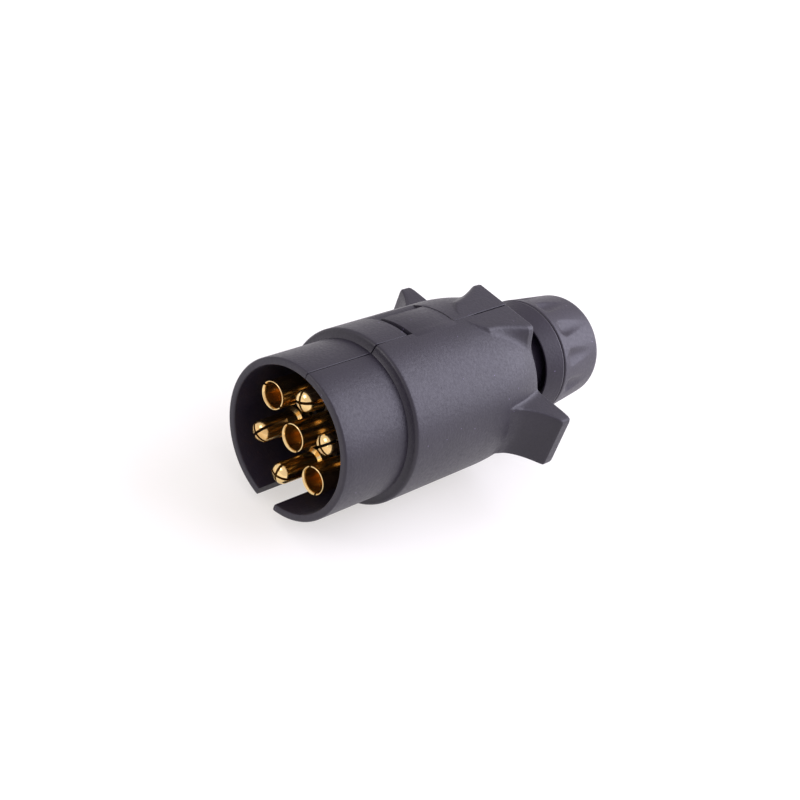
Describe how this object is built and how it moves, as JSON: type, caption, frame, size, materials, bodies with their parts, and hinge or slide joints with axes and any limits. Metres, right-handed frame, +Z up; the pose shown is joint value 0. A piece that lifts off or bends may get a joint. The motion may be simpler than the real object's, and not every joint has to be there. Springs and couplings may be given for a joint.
{
  "type": "trailer wiring connector",
  "caption": "Round trailer wiring plug: clamshell housing with shroud and finger wings, split pins and socket tubes in a carrier, and a screwed cable gland.",
  "frame": {"origin": "middle of the plug's footprint, on the surface that it rests on", "axes": "+Y along the plug's axis from the mating rim to the cable entry, +Z up with the keyway at the bottom"},
  "size_m": [0.0628, 0.1086, 0.0457],
  "materials": {
    "shell_plastic": "moulded, fine texture",
    "nut_plastic": "moulded, satin",
    "carrier_plastic": "moulded, satin",
    "contact_brass": "turned, bright",
    "screw_steel": "zinc plated",
    "seal_rubber": "matt",
    "washer_plastic": "natural nylon"
  },
  "bodies": {
    "housing": {"right_shell": "shell_plastic", "contact_carrier": "carrier_plastic", "carrier_backplate": "carrier_plastic", "pin_top": "contact_brass", "pin_upper_right": "contact_brass", "pin_bottom": "contact_brass", "pin_lower_left": "contact_brass", "socket_upper_left": "contact_brass", "socket_lower_right": "contact_brass", "socket_centre": "contact_brass", "gland_body": "shell_plastic", "cable_seal": "seal_rubber"},
    "left_shell": {"left_shell": "shell_plastic"},
    "slip_washer": {"slip_washer": "washer_plastic"},
    "gland_nut": {"gland_nut": "nut_plastic"},
    "terminal_screw_top": {"terminal_screw_top": "screw_steel"},
    "terminal_screw_upper_right": {"terminal_screw_upper_right": "screw_steel"},
    "terminal_screw_bottom": {"terminal_screw_bottom": "screw_steel"},
    "terminal_screw_lower_left": {"terminal_screw_lower_left": "screw_steel"},
    "terminal_screw_upper_left": {"terminal_screw_upper_left": "screw_steel"},
    "terminal_screw_lower_right": {"terminal_screw_lower_right": "screw_steel"},
    "terminal_screw_centre": {"terminal_screw_centre": "screw_steel"}
  },
  "joints": [
    {"name": "left_shell_off", "type": "slide", "parent": "housing", "child": "left_shell", "axis": [-1, 0, 0], "range_m": [0, 0.05]},
    {"name": "nut_advance", "type": "slide", "parent": "housing", "child": "slip_washer", "axis": [0, 1, 0], "range_m": [0, 0.0122]},
    {"name": "nut_turn", "type": "hinge", "parent": "slip_washer", "child": "gland_nut", "pos_m": [0, 0.045, 0.02285], "axis": [0, 1, 0], "range_deg": [0, 1440]},
    {"name": "terminal_screw_top_turn", "type": "hinge", "parent": "housing", "child": "terminal_screw_top", "pos_m": [0, -0.0165, 0.03425], "axis": [0, 0, 1], "range_deg": [0, 720]},
    {"name": "terminal_screw_upper_right_turn", "type": "hinge", "parent": "housing", "child": "terminal_screw_upper_right", "pos_m": [0.00987, -0.0165, 0.02855], "axis": [0.866, 0, 0.5], "range_deg": [0, 720]},
    {"name": "terminal_screw_bottom_turn", "type": "hinge", "parent": "housing", "child": "terminal_screw_bottom", "pos_m": [0, -0.0165, 0.01145], "axis": [0, 0, -1], "range_deg": [0, 720]},
    {"name": "terminal_screw_lower_left_turn", "type": "hinge", "parent": "housing", "child": "terminal_screw_lower_left", "pos_m": [-0.00987, -0.0165, 0.01715], "axis": [-0.866, 0, -0.5], "range_deg": [0, 720]},
    {"name": "terminal_screw_upper_left_turn", "type": "hinge", "parent": "housing", "child": "terminal_screw_upper_left", "pos_m": [-0.00987, -0.0165, 0.02855], "axis": [-0.866, 0, 0.5], "range_deg": [0, 720]},
    {"name": "terminal_screw_lower_right_turn", "type": "hinge", "parent": "housing", "child": "terminal_screw_lower_right", "pos_m": [0.00987, -0.0165, 0.01715], "axis": [0.866, 0, -0.5], "range_deg": [0, 720]},
    {"name": "terminal_screw_centre_turn", "type": "hinge", "parent": "housing", "child": "terminal_screw_centre", "pos_m": [0, -0.011, 0.02285], "axis": [0, 0, 1], "range_deg": [0, 720]}
  ],
  "couplings": [
    {"joint": "nut_advance", "follows": "nut_turn", "m_per_rad": 0.00047746}
  ]
}
